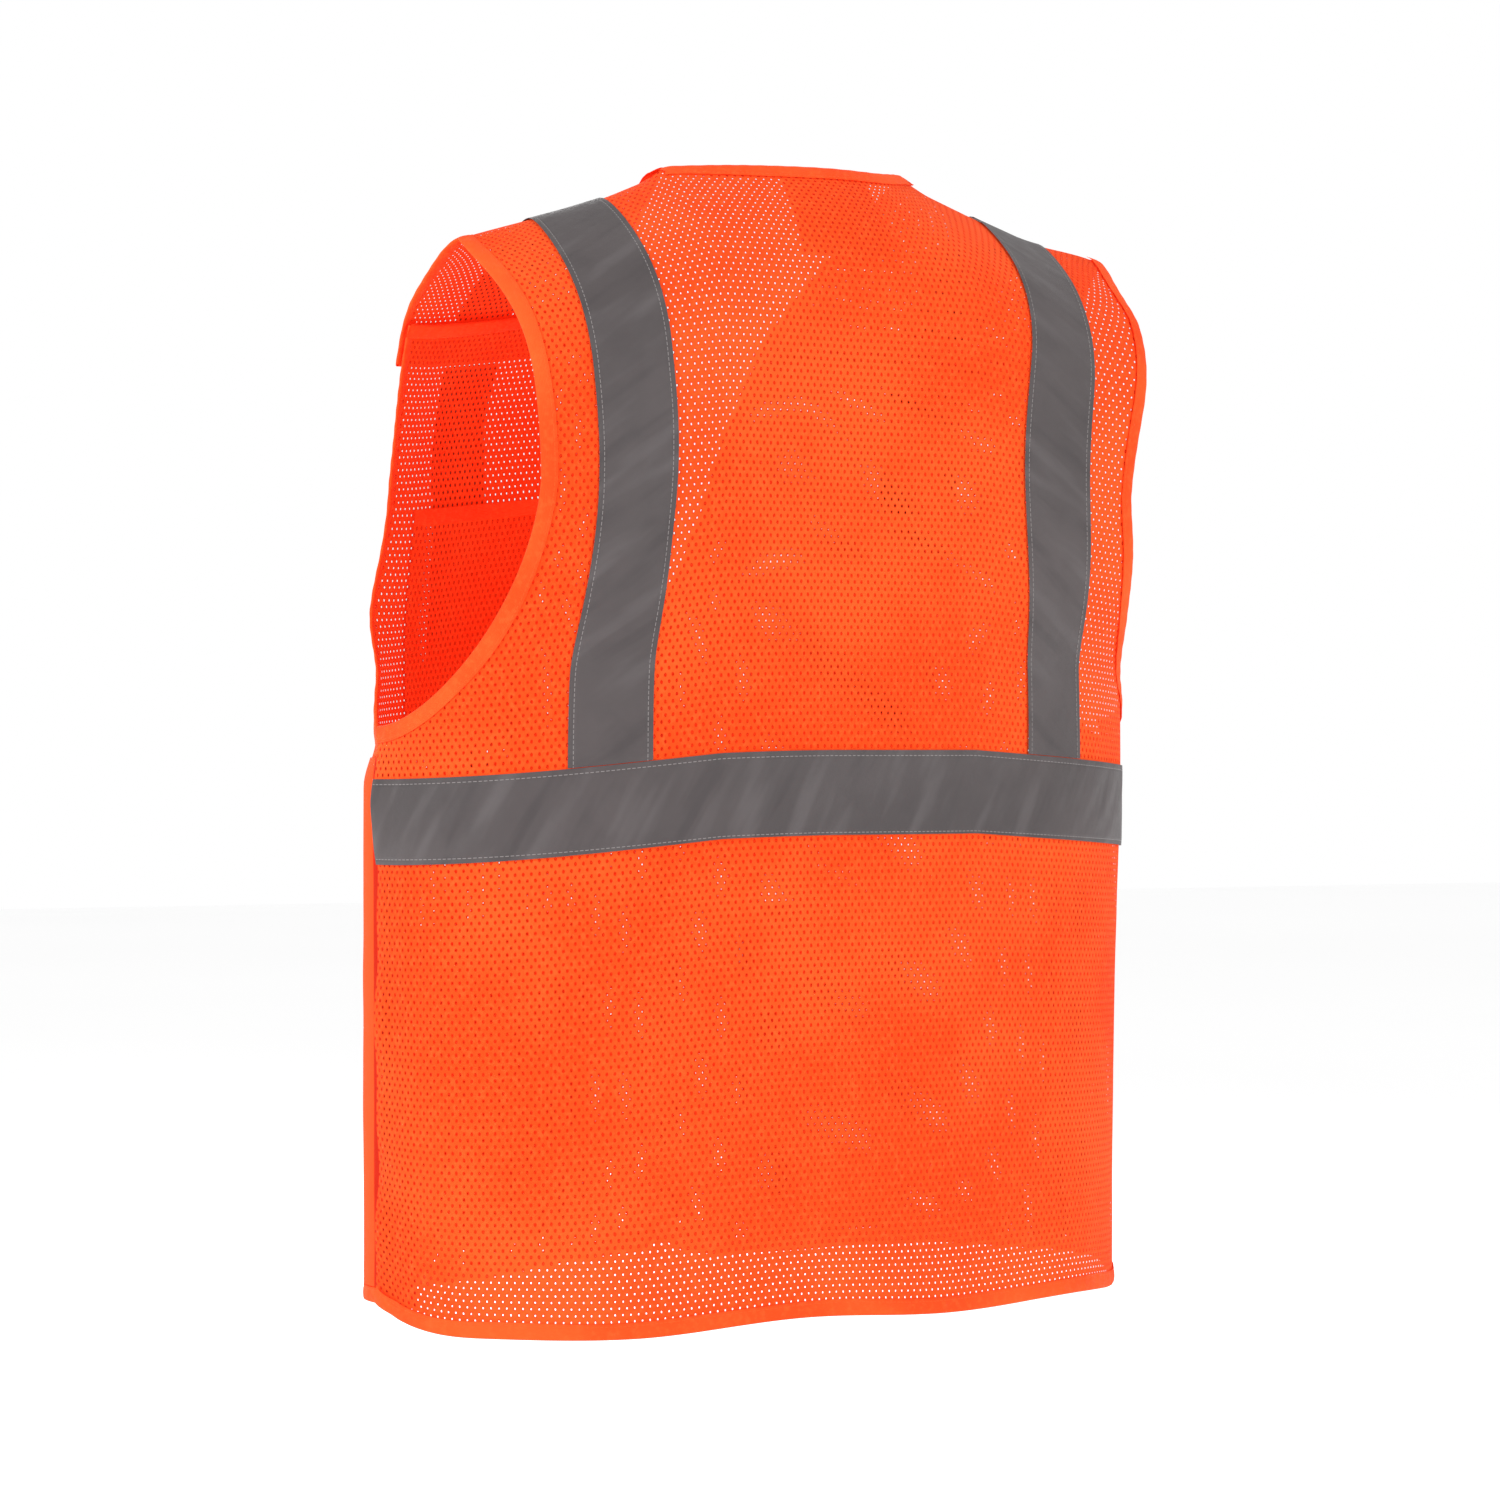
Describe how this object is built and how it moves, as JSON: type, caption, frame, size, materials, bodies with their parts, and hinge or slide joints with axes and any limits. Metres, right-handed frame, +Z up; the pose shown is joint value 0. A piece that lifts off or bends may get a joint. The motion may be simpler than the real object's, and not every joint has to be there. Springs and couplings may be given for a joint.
{
  "type": "high visibility vest",
  "caption": "Breakaway mesh safety vest with reflective tapes; shoulders, sides and front part at hook-and-loop closures.",
  "frame": {"origin": "middle of the line between the two points where the shoulder ridges meet the neckline, where a hanger or the wearer's shoulders hold the vest up", "axes": "+Z up along the vest, +Y towards the wearer's back, +X towards the wearer's left"},
  "size_m": [0.52, 0.2451, 0.6939],
  "materials": {
    "mesh_fabric": "knitted polyester mesh, matt fluorescent orange",
    "binding": "plain woven binding, matt fluorescent orange",
    "reflective_tape": "woven retroreflective tape, silver grey, low sheen",
    "hook_strip": "nylon hook tape, matt",
    "loop_strip": "brushed nylon loop tape, matt",
    "label": "plain woven label, blank"
  },
  "bodies": {
    "root": {"back_panel": "mesh_fabric", "neck_binding": "binding", "back_hem_binding": "binding", "back_waist_tape": "reflective_tape", "neck_label": "label", "left_back_armhole_binding": "binding", "left_back_shoulder_tape": "reflective_tape", "left_side_hook_strip": "hook_strip", "right_back_armhole_binding": "binding", "right_back_shoulder_tape": "reflective_tape", "right_side_hook_strip": "hook_strip"},
    "left_flap": {"left_shoulder_flap": "mesh_fabric", "left_flap_tape": "reflective_tape", "left_flap_armhole_binding": "binding", "left_flap_neck_binding": "binding", "left_flap_end_binding": "binding", "left_flap_hook_strip": "hook_strip"},
    "left_front": {"left_front_panel": "mesh_fabric", "left_front_hem_binding": "binding", "left_front_top_binding": "binding", "left_front_armhole_binding": "binding", "left_front_edge_binding": "binding", "left_front_waist_tape": "reflective_tape", "left_front_shoulder_tape": "reflective_tape", "left_placket_hook_strip": "hook_strip", "left_shoulder_loop_strip": "loop_strip", "left_side_loop_strip": "loop_strip", "left_chest_pocket": "mesh_fabric", "left_chest_pocket_binding": "binding", "left_lower_pocket": "mesh_fabric", "left_lower_pocket_binding": "binding"},
    "right_flap": {"right_shoulder_flap": "mesh_fabric", "right_flap_tape": "reflective_tape", "right_flap_armhole_binding": "binding", "right_flap_neck_binding": "binding", "right_flap_end_binding": "binding", "right_flap_hook_strip": "hook_strip"},
    "right_front": {"right_front_panel": "mesh_fabric", "right_front_hem_binding": "binding", "right_front_top_binding": "binding", "right_front_armhole_binding": "binding", "right_front_edge_binding": "binding", "right_front_waist_tape": "reflective_tape", "right_front_shoulder_tape": "reflective_tape", "right_placket_loop_strip": "loop_strip", "right_shoulder_loop_strip": "loop_strip", "right_side_loop_strip": "loop_strip", "right_chest_pocket": "mesh_fabric", "right_chest_pocket_binding": "binding", "right_lower_pocket": "mesh_fabric", "right_lower_pocket_binding": "binding"}
  },
  "joints": [
    {"name": "left_front_swing", "type": "hinge", "parent": "root", "child": "left_front", "pos_m": [0.2546, -0.045, -0.35], "axis": [0, 0, 1], "range_deg": [0, 70]},
    {"name": "right_front_swing", "type": "hinge", "parent": "root", "child": "right_front", "pos_m": [-0.2546, -0.045, -0.35], "axis": [0, 0, -1], "range_deg": [0, 56]},
    {"name": "left_flap_peel", "type": "hinge", "parent": "root", "child": "left_flap", "pos_m": [0.089, 0, 0.003], "axis": [-0.9508, 0, 0.31], "range_deg": [0, 231]},
    {"name": "right_flap_peel", "type": "hinge", "parent": "root", "child": "right_flap", "pos_m": [-0.089, 0, 0.003], "axis": [-0.9508, 0, -0.31], "range_deg": [0, 231]}
  ],
  "couplings": [
    {"joint": "right_front_swing", "follows": "left_front_swing", "ratio": 0.8},
    {"joint": "left_flap_peel", "follows": "left_front_swing", "ratio": 3.3},
    {"joint": "right_flap_peel", "follows": "left_front_swing", "ratio": 3.3}
  ]
}
